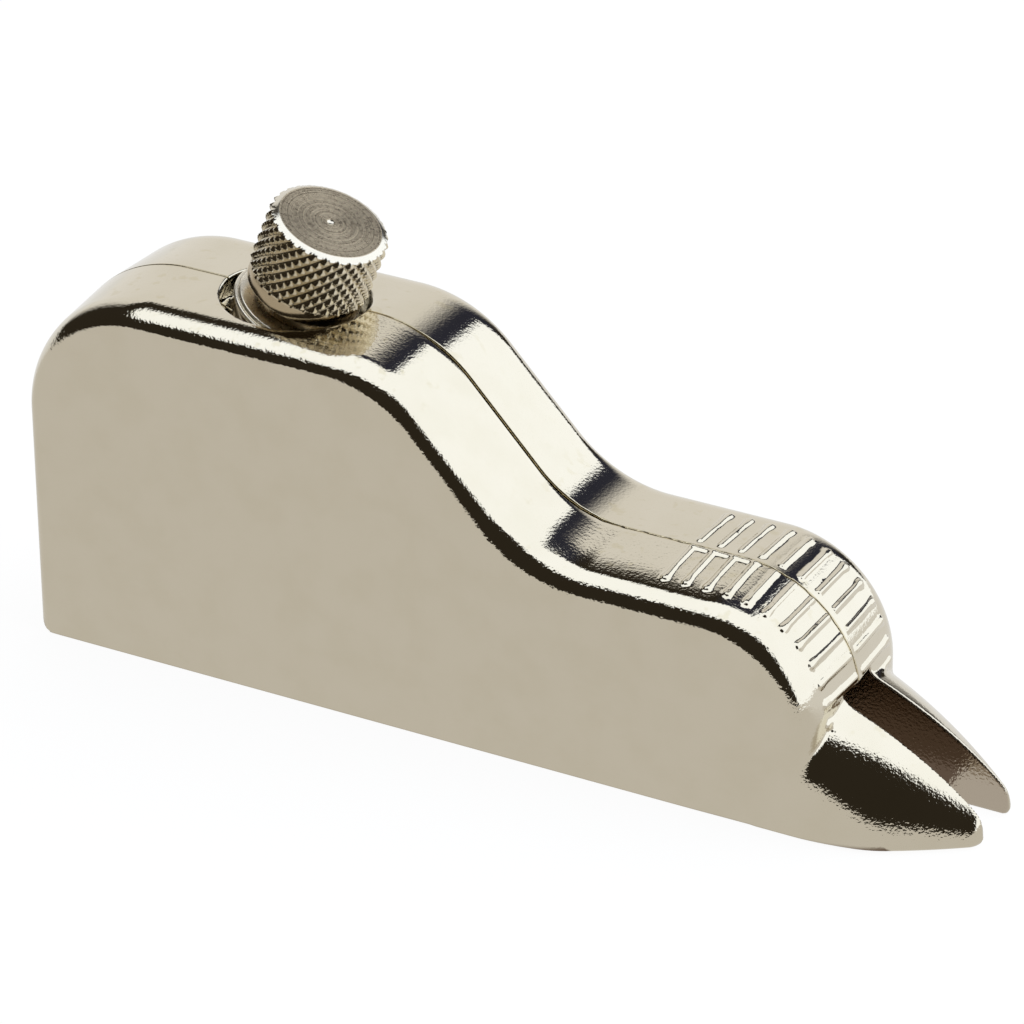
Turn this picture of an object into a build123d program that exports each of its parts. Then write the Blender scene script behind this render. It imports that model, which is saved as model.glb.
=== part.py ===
from build123d import *
import math
import os

# Small fork-nosed hand plane: two die-cast halves that hold a narrow blade on a low-angle bed,
# pressed down by a knurled thumb screw. Millimetres, +X to the nose, +Z up, the sole on Z = 0.
# The model is drawn with X measured from the rear face and moved to the middle of its length on export.

# Body outline at the seam
length = 110.6
half_width = 11.0
top_height = 42.7
rear_radius = 15.5
heel_radius = 3.0
brow_start = 37.9
brow_radius = 16.0
slope_angle = 47.0
rest_height = 24.6
dip_radius = 14.0
nose_length = 15.7
front_radius = 13.5

# Casting
draft_angle = 3.5
edge_radius = 1.65
sole_grinding = 6.6
wall = 3.0

# Fork
slot_half = 3.1
lintel_height = 13.3
throat_depth = 15.4
nose_root_radius = 12.95
tip_rounding = 2.2
tip_turn = 54.0
nose_edge_radius = 1.0
cheek_radius = 10.0

# Finger ribs
rib_count = 12
rib_lead = 5.7
rib_pitch = 2.38
rib_width = 1.1
rib_height = 0.42
rib_rounding = 0.4
rib_span_right = (0.2, 7.1)
rib_span_left = (0.9, 8.2)

# Thumb screw, measured along its axis from the plane of the top
screw_lean = 22.0
screw_at = 29.3
head_top = 10.1
head_face_radius = 5.6
head_radius = 6.6
head_chamfer = 0.75
knurl_length = 6.75
band_radius = 6.4
band_length = 1.7
collar_radius = 4.7
shank_radius = 3.0
tip_pin_radius = 1.6
tip_pin_length = 1.2
fit_clearance = 0.05

# Washer, spring and nut under the head
washer_top = -1.0
washer_thickness = 0.9
washer_radius = 6.3
hole_clearance = 0.25
spring_wire = 1.0
spring_radius = 5.7
spring_turns = 2.5
spring_gap = 0.08
spring_height = 5.0
recess_radius = 8.1
web = 2.0
nut_side = 10.0
nut_thickness = 3.2
nut_clearance = 0.1
screw_travel = 2.0

# Pressure pad and blade
pad_radius = 2.9
pad_thickness = 2.0
blade_width = 6.0
blade_thickness = 1.6
blade_tail = 4.85
bevel_angle = 30.0
blade_clearance = 0.1
edge_height = 0.2
blade_retract = 6.0

# Screws and pins that join the halves
body_screw_radius = 1.5
body_screw_head = 2.9
body_screw_end = 7.0
head_sunk = 0.1
drive_width = 0.8
drive_depth = 0.9
boss_radius = 4.0
dowel_radius = 1.5
dowel_length = 10.0
dowel_boss = 3.3
rear_screw = (9.5, 9.0)
middle_screw = (44.5, 30.5)
front_screw_at = 66.5
front_screw_rise = 6.3
rear_dowel = (8.5, 21.5)
front_dowel_at = 73.5
front_dowel_rise = 9.1

# Heights along the screw axis
washer_bottom = washer_top - washer_thickness
recess_floor = washer_bottom - spring_height
nut_top = recess_floor - web
nut_bottom = nut_top - nut_thickness
lean = math.radians(screw_lean)
axis_up = Vector(math.sin(lean), 0, math.cos(lean))
bed_ahead = Vector(math.cos(lean), 0, -math.sin(lean))
axis_foot = Vector(screw_at, 0, top_height)
pad_top = nut_bottom - screw_travel - 2 * nut_clearance
pad_bottom = pad_top - pad_thickness
bed_level = pad_bottom - blade_thickness
screw_plane = Plane(axis_foot, x_dir=bed_ahead, z_dir=axis_up)
edge_ahead = (edge_height - top_height - bed_level * axis_up.Z) / bed_ahead.Z
blade_length = edge_ahead + blade_tail
draft_fall = math.tan(math.radians(draft_angle))
slope = math.radians(slope_angle)
head_level = half_width - head_sunk
wall_front = length - nose_length
throat_rear = wall_front - throat_depth


def flat(x, z):
    """Point of the seam plane."""
    return Vector(x, 0, z)


def along_bed(ahead, level):
    """Point of the seam plane, ahead along the blade bed and at a level along the screw axis."""
    return axis_foot + bed_ahead * ahead + axis_up * level


def above_blade(x, rise):
    """Place in side view, a rise above the upper face of the blade."""
    ahead = (x - axis_foot.X - pad_bottom * axis_up.X) / bed_ahead.X
    return x, along_bed(ahead, pad_bottom).Z + rise


def arc_point(centre, radius, angle):
    """Point on a circle in the seam plane, the angle in radians from +X towards +Z."""
    return flat(centre.X + radius * math.cos(angle), centre.Z + radius * math.sin(angle))


def three_point(centre, radius, first, last):
    """Arc about a centre in the seam plane."""
    points = [arc_point(centre, radius, angle) for angle in (first, (first + last) / 2, last)]
    return ThreePointArc(*points)


# Corner points and centres of the side outline
rear_centre = flat(rear_radius, top_height - rear_radius)
brow_centre = flat(brow_start, top_height - brow_radius)
brow_end = arc_point(brow_centre, brow_radius, math.pi / 2 - slope)
dip_rise = dip_radius * (1 - math.cos(slope))
dip_start = flat(brow_end.X + (brow_end.Z - rest_height - dip_rise) / math.tan(slope), rest_height + dip_rise)
dip_centre = flat(dip_start.X + dip_radius * math.sin(slope), rest_height + dip_radius)
front_centre = flat(wall_front - front_radius, rest_height - front_radius)
rib_first = front_centre.X - rib_lead

# Places of the screws and pins; those at the front keep clear of the blade
screw_places = {
    "rear": rear_screw,
    "middle": middle_screw,
    "front": above_blade(front_screw_at, front_screw_rise),
}
dowel_places = {"rear": rear_dowel, "front": above_blade(front_dowel_at, front_dowel_rise)}


def side_outline(rear_bottom, front_bottom):
    """Side view of the body at the seam, closed along a bottom line between two heights."""
    edges = [
        Line(flat(0, rear_bottom), flat(0, rear_centre.Z)),
        three_point(rear_centre, rear_radius, math.pi, math.pi / 2),
        Line(flat(rear_radius, top_height), flat(brow_start, top_height)),
        three_point(brow_centre, brow_radius, math.pi / 2, math.pi / 2 - slope),
        Line(brow_end, dip_start),
        three_point(dip_centre, dip_radius, -math.pi / 2 - slope, -math.pi / 2),
        Line(flat(dip_centre.X, rest_height), flat(front_centre.X, rest_height)),
        three_point(front_centre, front_radius, math.pi / 2, 0),
        Line(flat(wall_front, front_centre.Z), flat(wall_front, front_bottom)),
        Line(flat(wall_front, front_bottom), flat(0, rear_bottom)),
    ]
    return make_face(edges)


def slab(ahead_low, ahead_high, level_low, level_high):
    """Four-sided region of the seam plane, square to the screw axis."""
    corners = [
        along_bed(ahead_low, level_low),
        along_bed(ahead_high, level_low),
        along_bed(ahead_high, level_high),
        along_bed(ahead_low, level_high),
    ]
    return make_face(Polyline(*corners, close=True))


def disc(place, radius):
    """Round region of the seam plane."""
    return Plane((place[0], 0, place[1]), x_dir=(1, 0, 0), z_dir=(0, -1, 0)) * Circle(radius)


def across(place, radius, near, far):
    """Cylinder along Y between two distances from the seam, near < far."""
    plane = Plane((place[0], near, place[1]), x_dir=(1, 0, 0), z_dir=(0, 1, 0))
    return plane * Cylinder(radius, far - near, align=(Align.CENTER, Align.CENTER, Align.MIN))


def on_axis(radius, low, high):
    """Cylinder on the screw axis between two levels."""
    shape = Cylinder(radius, high - low, align=(Align.CENTER, Align.CENTER, Align.MIN))
    return screw_plane * Pos(0, 0, low) * shape


def box_between(low, high):
    """Box between two corners."""
    size = [high[i] - low[i] for i in range(3)]
    middle = [(high[i] + low[i]) / 2 for i in range(3)]
    return Pos(*middle) * Box(*size)


def heel_cut():
    """Corner taken off under the rear face; the rounding lies along the drafted face."""
    outward = Vector(-1, -draft_fall, 0).normalized()
    along = Vector(draft_fall, -1, 0).normalized()
    corner = heel_radius + wall
    plane = Plane(flat(-heel_radius / outward.X, heel_radius), x_dir=outward, z_dir=along)
    block = box_between((0, 0, -wall), (corner, corner, half_width + wall))
    rounding = Cylinder(heel_radius, 4 * half_width)
    return plane * (block - rounding)


def outer_shell():
    """Drafted casting of one half, rounded along its side; grinding the sole takes most off at the rear."""
    front_below = half_width * draft_fall
    rear_below = front_below + sole_grinding
    outline = side_outline(-rear_below, -front_below)
    blank = extrude(outline, amount=half_width, dir=(0, -1, 0), taper=draft_angle)
    side = blank.faces().sort_by(Axis.Y)[0]
    rounded = fillet(side.edges(), edge_radius)
    underside = box_between((-wall, -2 * half_width, -2 * rear_below), (length, wall, 0))
    return rounded - underside - heel_cut()


def nose_half():
    """Half of the bullet nose, turned about the sole line and cut flat by the side of the body."""
    nose_back = wall_front - front_radius / 2
    root = flat(wall_front, nose_root_radius)
    tip_centre = flat(length - tip_rounding, slot_half)
    turn = math.radians(tip_turn)
    backward = Vector(-math.sin(turn), 0, math.cos(turn))
    edges = [
        Line(flat(nose_back, 0), flat(nose_back, nose_root_radius)),
        Line(flat(nose_back, nose_root_radius), root),
        Edge.make_tangent_arc(arc_point(tip_centre, tip_rounding, turn), backward, root),
        three_point(tip_centre, tip_rounding, turn, 0),
        Line(flat(length, slot_half), flat(length, 0)),
        Line(flat(length, 0), flat(nose_back, 0)),
    ]
    bullet = revolve(make_face(edges), Axis.X)
    keep = box_between((0, -half_width, 0), (length + wall, 0, 2 * nose_root_radius))
    nose = bullet & keep
    side = nose.faces().filter_by(Axis.Y).sort_by(Axis.Y)[0]
    cheek = side.edges().filter_by(lambda edge: edge.center().Z > wall and edge.center().X > nose_back)
    nose = fillet(cheek, cheek_radius)
    sole = nose.faces().filter_by(Axis.Z).sort_by(Axis.Z)[0]
    rim = sole.edges().filter_by(lambda edge: edge.center().Y < -slot_half and edge.center().X > nose_back)
    return fillet(rim, nose_edge_radius)


def rest_point(distance):
    """Point and outward normal on the finger rest, a distance along its outline from the first rib."""
    flat_run = front_centre.X - rib_first
    arc_run = front_radius * math.pi / 2
    if distance < flat_run:
        return flat(rib_first + distance, rest_height), Vector(0, 0, 1)
    if distance < flat_run + arc_run:
        angle = math.pi / 2 - (distance - flat_run) / front_radius
        normal = Vector(math.cos(angle), 0, math.sin(angle))
        return front_centre + normal * front_radius, normal
    return flat(wall_front, front_centre.Z - (distance - flat_run - arc_run)), Vector(1, 0, 0)


def finger_ribs(span):
    """Raised bars across the finger rest of the right half between two distances from the seam."""
    outward = Vector(0, -1, 0)
    middle = (span[0] + span[1]) / 2
    sunk = rib_width
    blank = extrude(SlotOverall(span[1] - span[0], rib_width), amount=sunk + rib_height)
    blank = Pos(0, 0, -sunk) * fillet(blank.faces().sort_by(Axis.Z)[-1].edges(), rib_rounding)
    bars = []
    for index in range(rib_count):
        point, normal = rest_point(index * rib_pitch)
        foot = point + outward * middle - normal * (middle * draft_fall)
        plane = Plane(foot, x_dir=outward - normal * draft_fall, z_dir=normal + outward * draft_fall)
        bars.append(plane * blank)
    return bars


def inner_cavity():
    """Hollow of the right half, left open between the screw block, the bed, the bosses and the nose."""
    reach = length
    front = throat_rear - wall
    region = offset(side_outline(0, 0), -wall)
    region -= slab(-recess_radius - wall, recess_radius + wall, nut_top, top_height)
    block = nut_side / 2 + wall
    region -= slab(-block, block, nut_bottom - wall / 2, nut_top)
    region -= slab(-reach, reach, bed_level - wall, bed_level + blade_thickness + blade_clearance)
    corners = [flat(front, -wall), flat(reach, -wall), flat(reach, reach), flat(front, reach)]
    region -= make_face(Polyline(*corners, close=True))
    for place in screw_places.values():
        region -= disc(place, boss_radius)
    for place in dowel_places.values():
        region -= disc(place, dowel_boss)
    return extrude(region, amount=half_width - wall, dir=(0, -1, 0))


def shared_cuts():
    """Cuts that both halves share: fork slot, blade channel, screw recess, nut pocket and dowel holes."""
    over = length + wall
    high = 2 * nose_root_radius
    bed_top = bed_level + blade_thickness + blade_clearance
    tail = edge_ahead - blade_length - blade_retract - wall
    channel_half = blade_width / 2 + blade_clearance
    channel = screw_plane * box_between((tail, -channel_half, bed_level), (length, channel_half, bed_top))
    pocket_half = nut_side / 2 + nut_clearance
    low_corner = (-pocket_half, -pocket_half, nut_bottom - nut_clearance)
    pocket = screw_plane * box_between(low_corner, (pocket_half, pocket_half, nut_top))
    cuts = [
        box_between((throat_rear, -slot_half, -wall), (over, slot_half, lintel_height)),
        box_between((wall_front, -slot_half, -wall), (over, slot_half, high)),
        channel,
        on_axis(recess_radius, recess_floor, top_height),
        on_axis(shank_radius + hole_clearance, nut_bottom - wall, recess_floor),
        pocket,
    ]
    depth = dowel_length / 2 + hole_clearance
    for place in dowel_places.values():
        cuts.append(across(place, dowel_radius + fit_clearance, -depth, depth))
    return cuts


def cast_half(rib_span):
    """Right half as cast, before its holes."""
    return outer_shell() + nose_half() + finger_ribs(rib_span) - inner_cavity()


def countersink(place, radius):
    """Seat of a countersunk head, carried on to the side face."""
    drop = radius - body_screw_radius
    plane = Plane((place[0], head_level, place[1]), x_dir=(1, 0, 0), z_dir=(0, 1, 0))
    top = Cylinder(radius, half_width - head_level, align=(Align.CENTER, Align.CENTER, Align.MIN))
    cone = Cone(body_screw_radius, radius, drop, align=(Align.CENTER, Align.CENTER, Align.MAX))
    return plane * top + plane * cone


def right_body():
    """Half on the -Y side: blind holes for the body screws."""
    half = cast_half(rib_span_right)
    depth = body_screw_end + hole_clearance
    for place in screw_places.values():
        half -= across(place, body_screw_radius + fit_clearance, -depth, 0)
    return half - shared_cuts()


def left_body():
    """Half on the +Y side: clearance holes and countersinks for the body screws."""
    half = mirror(cast_half(rib_span_left), about=Plane.XZ)
    for place in screw_places.values():
        half -= across(place, body_screw_radius + hole_clearance, 0, half_width)
        half -= countersink(place, body_screw_head + fit_clearance)
    return half - shared_cuts()


def body_screw(place):
    """Slotted countersunk screw that joins the halves."""
    drop = body_screw_head - body_screw_radius
    shank = across(place, body_screw_radius, -body_screw_end, head_level - drop)
    plane = Plane((place[0], head_level, place[1]), x_dir=(1, 0, 0), z_dir=(0, 1, 0))
    cone = Cone(body_screw_radius, body_screw_head, drop, align=(Align.CENTER, Align.CENTER, Align.MAX))
    drive = plane * Box(2 * body_screw_head, drive_width, 2 * drive_depth)
    return shank + plane * cone - drive


def dowel_pin(place):
    """Plain pin across the seam."""
    pin = across(place, dowel_radius, -dowel_length / 2, dowel_length / 2)
    return chamfer(pin.edges().filter_by(GeomType.CIRCLE), dowel_radius / 5)


def thumb_screw():
    """Turned thumb screw: head with a broad chamfer, smooth band, collar, shank and tip pin."""
    knurl_end = head_top - head_chamfer - knurl_length
    band_end = knurl_end - band_length
    outline = [
        (0, head_top),
        (head_face_radius, head_top),
        (head_radius, head_top - head_chamfer),
        (head_radius, knurl_end),
        (band_radius, knurl_end),
        (band_radius, band_end),
        (collar_radius, band_end),
        (collar_radius, washer_top),
        (shank_radius, washer_top),
        (shank_radius, pad_top),
        (tip_pin_radius, pad_top),
        (tip_pin_radius, pad_top - tip_pin_length),
        (0, pad_top - tip_pin_length),
    ]
    section = make_face(Polyline(*[(radius, 0, level) for radius, level in outline], close=True))
    return screw_plane * revolve(section, Axis.Z)


def flat_washer():
    """Washer between the collar and the spring."""
    hole = on_axis(shank_radius + hole_clearance, washer_bottom, washer_top)
    return on_axis(washer_radius, washer_bottom, washer_top) - hole


def helix_frame(angle, first_level, pitch):
    """Point and unit tangent of the spring's centre line, in the screw frame."""
    point = Vector(
        spring_radius * math.cos(angle),
        spring_radius * math.sin(angle),
        first_level + pitch * angle / (2 * math.pi),
    )
    tangent = Vector(-spring_radius * math.sin(angle), spring_radius * math.cos(angle), pitch / (2 * math.pi))
    return point, tangent.normalized()


def biarc(start, start_dir, end, end_dir):
    """Two tangent arcs from one point and direction to another."""
    span = end - start
    both = start_dir + end_dir
    square = both.dot(both) - 4
    middle = span.dot(both)
    reach = (middle - math.sqrt(middle**2 - square * span.dot(span))) / square
    first = start + start_dir * reach
    second = end - end_dir * reach
    joint = (first + second) / 2
    joint_dir = (second - first).normalized()
    return [Edge.make_tangent_arc(start, start_dir, joint), Edge.make_tangent_arc(joint, joint_dir, end)]


def spring_gap_to_itself(pitch):
    """Least gap between two turns, measured on points a turn and its neighbours apart."""
    steps = 72
    points = [helix_frame(2 * math.pi * i / steps, 0, pitch)[0] for i in range(int(spring_turns * steps) + 1)]
    least = math.inf
    for i, here in enumerate(points):
        for there in points[i + steps // 2 :]:
            least = min(least, (there - here).length)
    return least - spring_wire


def clamp_spring():
    """Open-ended compression spring, one unbroken wire."""
    first_level = recess_floor + spring_gap + spring_wire / 2
    pitch = (spring_height - spring_wire - 2 * spring_gap) / spring_turns
    quarters = round(spring_turns * 4)
    frames = [helix_frame(index * math.pi / 2, first_level, pitch) for index in range(quarters + 1)]
    edges = []
    for (start, start_dir), (end, end_dir) in zip(frames, frames[1:]):
        edges += biarc(start, start_dir, end, end_dir)
    start, start_dir = frames[0]
    wire = sweep(Plane(start, z_dir=start_dir) * Circle(spring_wire / 2), path=Wire(edges))
    print("spring: least gap to itself", round(spring_gap_to_itself(pitch), 3), "mm")
    return screw_plane * wire


def square_nut():
    """Captive nut under the web."""
    half = nut_side / 2
    blank = screw_plane * box_between((-half, -half, nut_bottom), (half, half, nut_top))
    return blank - on_axis(shank_radius + fit_clearance, nut_bottom, nut_top)


def pressure_pad():
    """Pad on the tip of the screw, drilled for the tip pin."""
    drilled = on_axis(tip_pin_radius + fit_clearance, pad_top - tip_pin_length - fit_clearance, pad_top)
    return on_axis(pad_radius, pad_bottom, pad_top) - drilled


def blade():
    """Steel strip on the bed, ground to a bevel on its upper face."""
    bevel = blade_thickness / math.tan(math.radians(bevel_angle))
    half = blade_width / 2
    profile = [
        (edge_ahead - blade_length, bed_level),
        (edge_ahead, bed_level),
        (edge_ahead - bevel, pad_bottom),
        (edge_ahead - blade_length, pad_bottom),
    ]
    section = make_face(Polyline(*[(ahead, half, level) for ahead, level in profile], close=True))
    return screw_plane * extrude(section, amount=blade_width, dir=(0, -1, 0))


nodes = {
    "right_body": right_body,
    "left_body": left_body,
    "thumb_screw": thumb_screw,
    "flat_washer": flat_washer,
    "clamp_spring": clamp_spring,
    "square_nut": square_nut,
    "pressure_pad": pressure_pad,
    "blade": blade,
}

os.makedirs("parts", exist_ok=True)
to_middle = Pos(-length / 2, 0, 0)
for name, make in nodes.items():
    export_step(to_middle * make(), f"parts/{name}.step")
for name, place in screw_places.items():
    export_step(to_middle * body_screw(place), f"parts/body_screw_{name}.step")
for name, place in dowel_places.items():
    export_step(to_middle * dowel_pin(place), f"parts/dowel_pin_{name}.step")
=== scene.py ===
import math

import bpy
import numpy as np
from mathutils import Matrix, Vector


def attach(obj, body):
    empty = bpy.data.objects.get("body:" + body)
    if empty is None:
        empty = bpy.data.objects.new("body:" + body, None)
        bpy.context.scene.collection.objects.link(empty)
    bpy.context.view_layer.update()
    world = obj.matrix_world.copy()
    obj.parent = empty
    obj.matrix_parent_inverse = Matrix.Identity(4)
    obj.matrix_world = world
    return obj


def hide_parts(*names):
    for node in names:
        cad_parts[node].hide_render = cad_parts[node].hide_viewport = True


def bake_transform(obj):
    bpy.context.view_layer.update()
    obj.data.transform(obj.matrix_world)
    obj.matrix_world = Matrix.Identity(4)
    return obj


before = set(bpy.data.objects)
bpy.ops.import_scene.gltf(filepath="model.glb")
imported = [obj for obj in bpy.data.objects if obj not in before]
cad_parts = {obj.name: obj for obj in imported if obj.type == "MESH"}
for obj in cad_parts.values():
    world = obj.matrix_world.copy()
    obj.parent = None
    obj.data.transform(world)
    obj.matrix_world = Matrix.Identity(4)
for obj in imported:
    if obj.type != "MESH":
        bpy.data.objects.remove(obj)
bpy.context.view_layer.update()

# Lengths are in millimetres: X from the rear face, s the distance from the seam and Z from the sole
mm = 0.001
length = 110.6
to_middle = -length / 2

# Casting
half_width = 11.0
top_height = 42.7
rear_radius = 15.5
heel_radius = 3.0
brow_start = 37.9
brow_radius = 16.0
slope_angle = math.radians(47.0)
rest_height = 24.6
dip_radius = 14.0
wall_front = 94.9
front_radius = 13.5
draft = math.radians(3.5)
sole_grinding = 6.6
sole_edge = 0.25
hole_edge = 0.1

# Rolled edge between the top and the sides, by half: -1 is the right one and 1 the left one
edge_over_top = {-1: 3.6, 1: 3.0}
edge_over_rest = {-1: 2.7, 1: 2.6}
edge_down_side = {-1: 1.95, 1: 1.5}
edge_at_sole = 0.8
rest_crown = {-1: 0.012, 1: 0.0}
rest_crown_start = 5.0

# Fork
slot_half = 3.1
lintel_height = 13.3
throat_rear = 79.5
nose_root_radius = 12.95
tip_rounding = 2.2
tip_turn = math.radians(54.0)
nose_arc_end = math.radians(130.0)
cheek_blend = 1.6
nose_sole_edge = 0.9
nose_root_blend = 0.7
slot_edge = 0.3

# Finger ribs, and the narrow spine beside the seam that joins the ribs of the right half
rib_count = 12
rib_lead = 5.7
rib_pitch = 2.38
rib_width = 0.66
rib_height = 0.28
rib_rounding = 0.25
rib_foot = 0.35
rib_bulb = 0.14
rib_bulb_run = 1.5
rib_span_right = (0.2, 7.1)
rib_span_left = (0.9, 8.2)
spine_middle = 0.45
spine_half = 0.2
spine_height = 0.14
spine_ribs = 3.1

# Seam: its waves are (share of the height, radians per millimetre, start)
seam_gap = 0.04
seam_gap_slope = 0.05
seam_edge = 0.1
seam_edge_slope = 0.2
seam_fall_width = {-1: 0.8, 1: 0.25}
seam_fall_slope = {-1: 0.29, 1: 0.15}
seam_fall_blend = 0.2
seam_wave = 0.07
seam_waves = [(1.0, 2.1, 0.0), (0.6, 4.7, 1.0)]

# Thumb screw and what lies under its head, measured along its axis from the plane of the top
lean = math.radians(22.0)
screw_at = 29.3
head_top = 10.1
head_face_radius = 5.68
head_radius = 6.58
head_chamfer = 0.5
knurl_length = 7.0
knurl_end = head_top - head_chamfer - knurl_length
knurl_starts = 29
knurl_depth = 0.46
knurl_cross_depth = 0.75
knurl_flatness = 1.1
knurl_facets = 14
knurl_run_in = 1.2
ring_margin = 0.06
ring_step = 0.1
ring_end = 0.55
ring_height = 0.006
ring_pace = 21.0
rim_edge = 0.01
screw_sharp = math.radians(32)
dimple = [(0.48, 0.0), (0.42, 0.06), (0.32, 0.15), (0.15, 0.21)]
band_radius = 6.3
band_length = 1.7
band_edge = 0.2
band_bevel = 0.08
band_bevel_run = (0.3, 0.05)
collar_radius = 4.7
collar_edge = 0.12
collar_root = (0.1, 0.1)
shank_radius = 3.0
shank_edge = 0.3
shank_root = (0.03, 0.02)
tip_pin_radius = 1.6
tip_pin_length = 1.2
tip_pin_edge = 0.2
tip_pin_centre = 0.25
pad_top = -14.3
washer_top = -1.0
washer_thickness = 0.9
washer_radius = 6.95
washer_step_radius = 6.5
washer_step = 0.38
washer_step_wall = 0.3
washer_step_foot = 0.05
washer_edge = 0.16
washer_bevel = 0.1
washer_hole_bevel = 0.07
washer_facets = 160
washer_sharp = math.radians(50)
hole_clearance = 0.25
spring_wire = 1.0
spring_radius = 5.7
spring_turns = 2.5
spring_gap = 0.08
spring_cut_end = 0.8
spring_steps = 64
spring_facets = 20
recess_radius = 7.1
recess_back = 1.05
recess_floor = -6.9
recess_edge = 0.4
nut_top = -8.9
nut_bottom = -12.1
nut_half = 5.1
bed_level = -17.9
channel_height = 1.7
channel_half = 3.1
channel_tail = -14.0

# Holes across the seam: (X, Z) of the body screws and of the dowels
screw_places = [(9.5, 9.0), (44.5, 30.5), (66.5, 16.24)]
dowel_places = [(8.5, 21.5), (73.5, 16.21)]
screw_hole = 1.55
screw_hole_depth = 7.25
screw_clear_hole = 1.75
screw_seat = 2.95
screw_seat_level = 10.9
dowel_hole = 1.55
dowel_hole_depth = 5.25

# Grid of the casting's surface
grid_step = 0.28
grid_margin = 0.6
seam_step = 0.06
seam_start = -1.5 * seam_step
seam_zone = 0.45
seam_zone_gap = 0.1
kept_share = 0.3
far_away = 1e3
far_below = -60.0

# All metals: size of the mottling in millimetres, specks as a multiple of the fine grain, range of the gloss,
# and how far a normal has to point sideways or up
mottle_size = 5.0
mottle_levels = (0.35, 0.75)
gloss_range = (0.7, 1.5)
speck_scale = 3
sideways_levels = (0.3, 0.8)
upward_levels = (0.6, 0.9)

# Plating of the casting, lengths in millimetres: darker in the fork as painted shade and duller there, yellow
# at the seam and stained on the top
fork_side_fade = (0.22, 0.02)
fork_rear_fade = 1.0
fork_top_fade = (0.3, 0.1)
fork_roughness = 0.02
seam_tint_reach = (0.32, 0.12)
stain_size = 1.5
stain_levels = (0.58, 0.72)
stain_share = 0.5

# Finish of the thumb screw's end face, band and rim, lengths in millimetres; the band's brown is a painted
# reflection
face_depth = (0.08, 0.04)
face_fade = 0.1
ring_mark_size = 0.16
ring_mark_relief = 0.035
scratch_size = 0.3
scratch_share = 0.24
scratch_roughness = 0.2
face_roughness = 0.04
mark_levels = (0.44, 0.8)
band_fade = (0.1, 0.2)
rim_depth = 0.35

# Camera of the photograph
camera_azimuth = math.radians(28.63)
camera_elevation = math.radians(29.07)
camera_roll = math.radians(-0.55)
camera_distance = 608 * mm
camera_target = Vector((-1.08, 0, 22.98)) * mm
camera_lens = 203.75
camera_sensor = 36.0
camera_clip = 0.05

# Floor, lengths in metres: lighter behind the plane, with a shaded strip under the plane
floor_reach = 1.5
floor_glow = 0.94
floor_grey = 0.1
floor_behind = (0.0, 0.04)
shade_half = (0.0115, 0.0095)
shade_front = (0.0476, 0.0471)
shade_rear = (-0.056, -0.053)

# Cards of the studio, each (from, edge, to, edge) in azimuth and then in elevation, in degrees
backdrop_card = (96, 8, 150, 8, -30, 2, 45.7, 1.5)
right_card = (-18, 4, 79, 1.2, -6, 2, 63, 2)
gap_card = (74, 2, 112, 8, 12, 6, 55, 3)
backdrop_fall = math.radians(5.7)
backdrop_fall_from = (math.radians(108), math.radians(118))

# Overhead box: edges towards the camera and at the back, and how far the back edge comes down to the right
overhead_near = (-0.35, -0.29)
overhead_near_lean = 0.25
overhead_back = (0.94, 0.975)
overhead_fall = math.radians(11)
overhead_fall_from = (0.1, 0.5)
overhead_least_height = 0.05

# Corner points of the side outline
quarter = math.pi / 2
rear_centre = (rear_radius, top_height - rear_radius)
brow_centre = (brow_start, top_height - brow_radius)
brow_end = (
    brow_start + brow_radius * math.sin(slope_angle),
    brow_centre[1] + brow_radius * math.cos(slope_angle),
)
dip_top = rest_height + dip_radius * (1 - math.cos(slope_angle))
dip_start = (brow_end[0] + (brow_end[1] - dip_top) / math.tan(slope_angle), dip_top)
dip_centre = (dip_start[0] + dip_radius * math.sin(slope_angle), rest_height + dip_radius)
front_centre = (wall_front - front_radius, rest_height - front_radius)
rib_first = front_centre[0] - rib_lead

# Stretches along X, or heights, over which edges and seam change from one kind to the other
rest_from = (dip_start[0] - 8, dip_start[0] + 3)
rest_to = (wall_front - 2, front_centre[0])
tight_below = (8, 1)
tight_from = (45, 75)
nose_from = (wall_front - 3, wall_front + 4)
slope_from = (brow_end[0] - 9, brow_end[0] - 2)
slope_to = (dip_centre[0] + 1, dip_centre[0] - 5)
slope_above = (rest_height - 4, rest_height - 2)
waver_from = (dip_start[0], dip_centre[0])


def smooth(low, high, value):
    """Soft step from 0 at low to 1 at high."""
    t = np.clip((value - low) / (high - low), 0, 1)
    return t * t * (3 - 2 * t)


def straight(start, end):
    """Signed distance from a straight run of an outline, outside on its left, and where that run counts."""
    run = math.hypot(end[0] - start[0], end[1] - start[1])
    ux, uz = (end[0] - start[0]) / run, (end[1] - start[1]) / run

    def distance(x, z):
        along = (x - start[0]) * ux + (z - start[1]) * uz
        return (z - start[1]) * ux - (x - start[0]) * uz, (along >= 0) & (along <= run)

    return distance


def rounded(centre, radius, first, last, hollow=False):
    """Signed distance from an arc of an outline between two angles, and where that arc counts."""
    middle = (first + last) / 2
    half = abs(last - first) / 2 + 1e-9
    side = -1 if hollow else 1

    def distance(x, z):
        angle = np.arctan2(z - centre[1], x - centre[0])
        off = np.abs((angle - middle + math.pi) % (2 * math.pi) - math.pi)
        return side * (np.hypot(x - centre[0], z - centre[1]) - radius), off <= half

    return distance


def nearest(x, z, outline):
    """Signed distance from a smooth outline made of runs and arcs."""
    best = np.full(np.broadcast(x, z).shape, far_away)
    for part in outline:
        gap, counts = part(x, z)
        gap = np.where(counts, gap, far_away)
        best = np.where(np.abs(gap) < np.abs(best), gap, best)
    return best


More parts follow.
